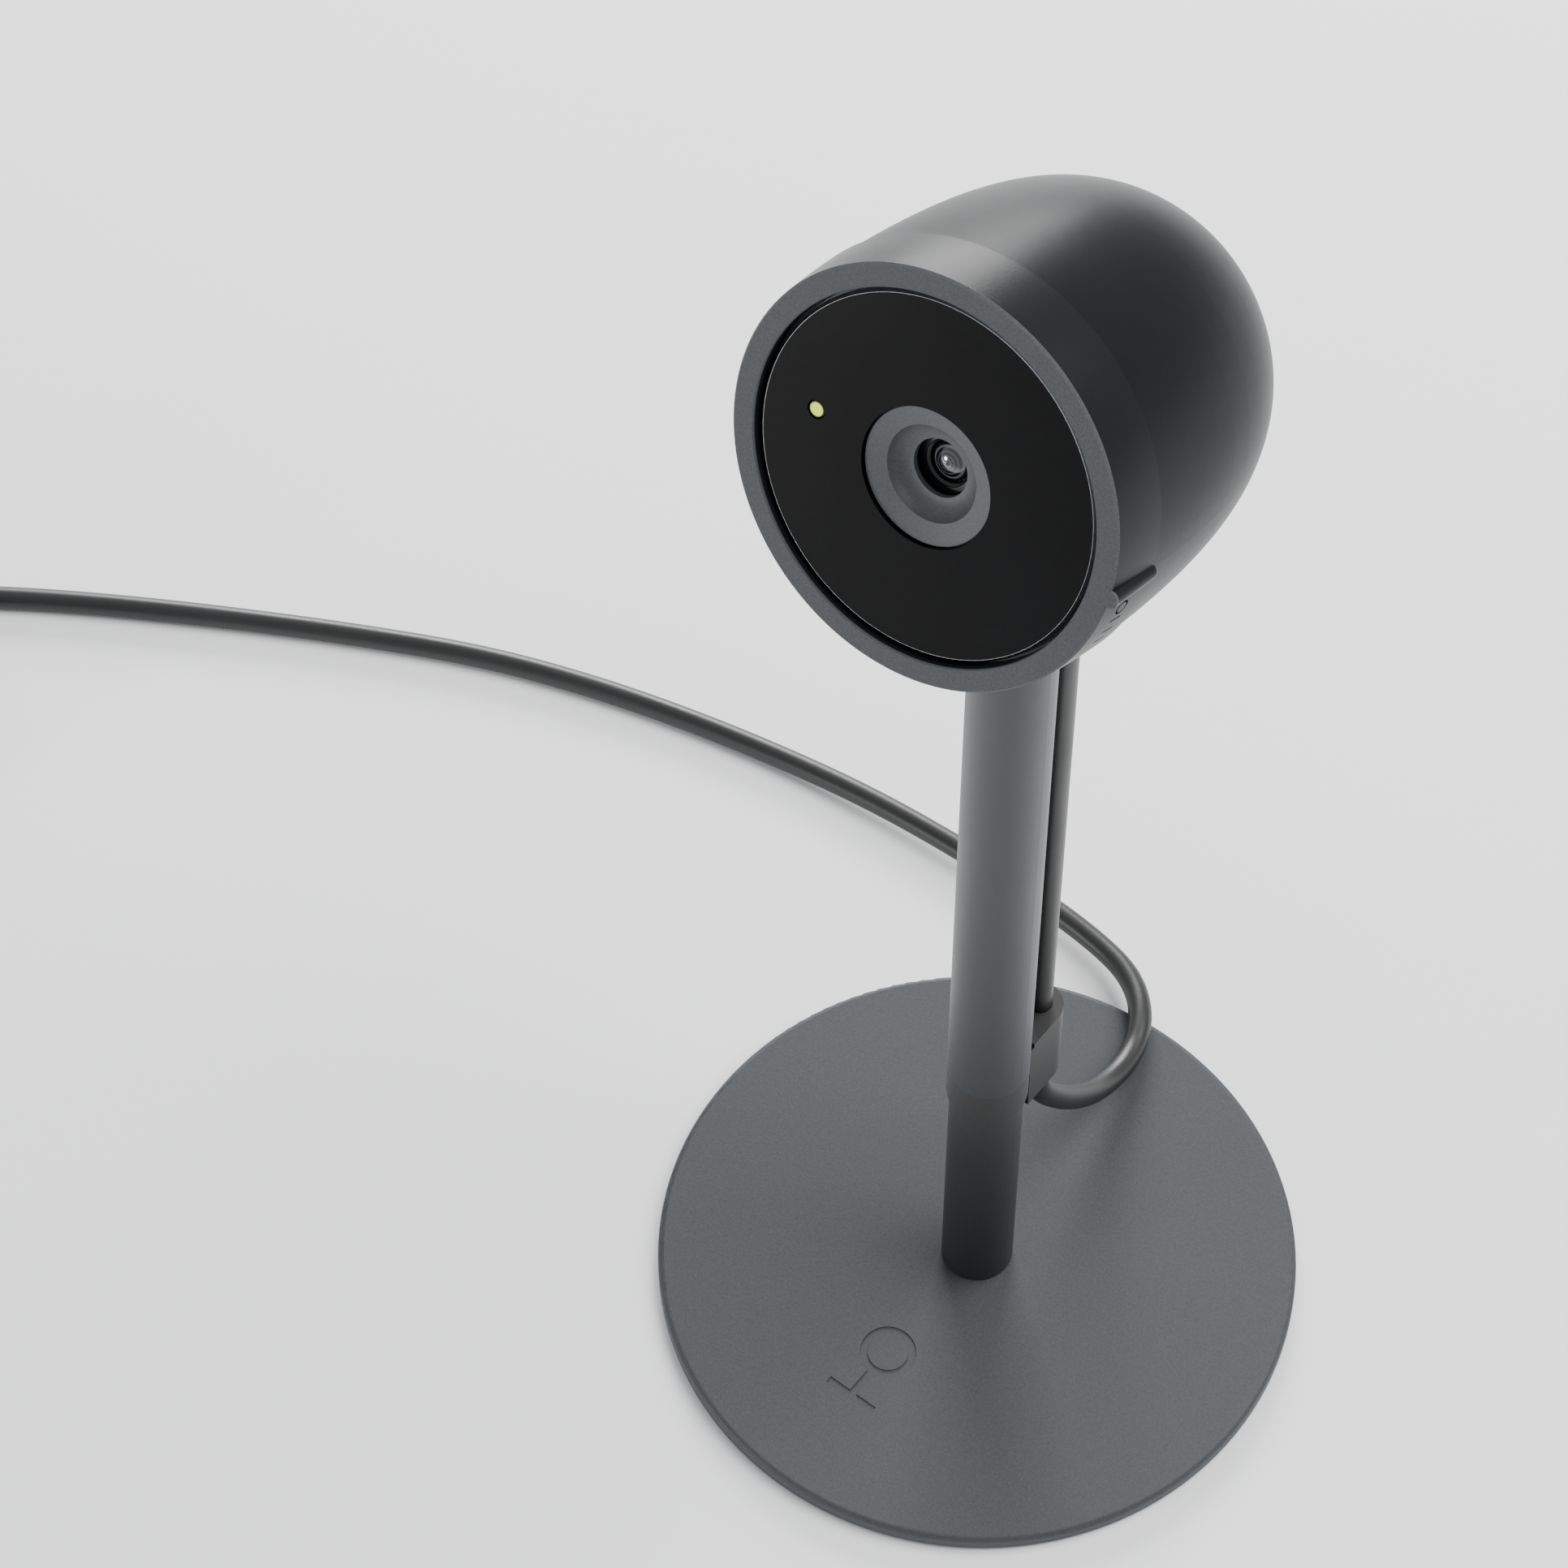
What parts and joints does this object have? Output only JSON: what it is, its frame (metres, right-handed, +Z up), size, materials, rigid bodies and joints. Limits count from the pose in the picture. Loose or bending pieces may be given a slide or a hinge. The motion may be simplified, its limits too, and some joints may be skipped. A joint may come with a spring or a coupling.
{
  "type": "desk camera on a telescoping stand",
  "caption": "Small bullet-shaped camera head with a turning privacy ring on a telescoping pole and flat round base, with its cable and plug.",
  "frame": {"origin": "middle of the base's underside, on the surface it stands on", "axes": "+Z up along the pole, the camera looks along -Y and slightly up, +X to the right of someone facing the lens"},
  "size_m": [0.3082, 0.1721, 0.2717],
  "materials": {
    "grey_powder_coat": "fine powder coat, mid grey",
    "dark_tube": "satin dark grey",
    "grey_tube": "satin mid grey",
    "black_rubber": "matt",
    "steel": "plain",
    "black_plastic": "matt black",
    "black_cable": "satin jacket",
    "dark_metal": "satin",
    "dark_shell": "fine satin, anthracite",
    "black_glass": "polished black cover",
    "grey_plastic": "fine grain, mid grey",
    "lens_black": "semi-gloss",
    "lens_glass": "coated",
    "sensor": "glossy",
    "circuit_board": "solder mask",
    "indicator": "glowing yellow-green",
    "grey_pad": "soft",
    "aluminium": "bead blasted",
    "shutter_black": "matt"
  },
  "bodies": {
    "stand": {"base_plate": "grey_powder_coat", "foot_pad": "black_rubber", "base_screw": "steel", "tube_foot": "steel", "lower_tube": "dark_tube", "guide_bush": "black_plastic", "free_cable": "black_cable", "cable_coil": "black_cable", "cable_tie": "black_rubber", "cable_end": "black_cable", "plug_body": "black_plastic", "plug_shell": "steel"},
    "stem": {"sleeve": "grey_tube", "collar_clip": "black_plastic", "stem_cap": "black_plastic", "cable_boot": "black_rubber", "riser_cable": "black_cable", "swivel_washer": "black_plastic"},
    "swivel": {"knuckle": "dark_metal", "pan_retainer": "steel", "pan_screw": "steel", "tilt_pin": "steel", "friction_washers": "black_plastic"},
    "head": {"rear_shell": "dark_shell", "tilt_bracket": "dark_metal", "front_carrier": "black_plastic", "front_glass": "black_glass", "lens_surround": "grey_plastic", "shutter_pivot": "steel", "lens_barrel": "black_plastic", "lens_retainer": "lens_black", "front_lens": "lens_glass", "iris_ring": "lens_black", "rear_lens": "lens_glass", "infrared_filter": "lens_glass", "lens_holder": "black_plastic", "image_sensor": "sensor", "sensor_board": "circuit_board", "board_connector": "black_plastic", "board_spacers": "steel", "main_board": "circuit_board", "chassis_screws": "steel", "light_pipe": "indicator", "status_led": "indicator", "microphones": "steel", "thermal_pad": "grey_pad", "heat_spreader": "aluminium"},
    "ring": {"privacy_ring": "grey_plastic"},
    "shutter": {"shutter_blade": "shutter_black"}
  },
  "joints": [
    {"name": "height_slide", "type": "slide", "parent": "stand", "child": "stem", "axis": [0, 0, 1], "range_m": [-0.025, 0.06], "deforming": ["free_cable"]},
    {"name": "head_pan", "type": "hinge", "parent": "stem", "child": "swivel", "pos_m": [0, 0, 0.1933], "axis": [0, 0, 1], "range_deg": [-160, 160]},
    {"name": "head_tilt", "type": "hinge", "parent": "swivel", "child": "head", "pos_m": [0, 0, 0.213], "axis": [1, 0, 0], "range_deg": [-15, 35]},
    {"name": "ring_turn", "type": "hinge", "parent": "head", "child": "ring", "pos_m": [0, -0.01863, 0.24266], "axis": [0, -0.93, 0.3675], "range_deg": [0, 40]},
    {"name": "shutter_swing", "type": "hinge", "parent": "head", "child": "shutter", "pos_m": [0, -0.01302, 0.2555], "axis": [0, -0.93, 0.3675], "range_deg": [-40, 0]}
  ],
  "couplings": [
    {"joint": "shutter_swing", "follows": "ring_turn", "ratio": -1}
  ]
}
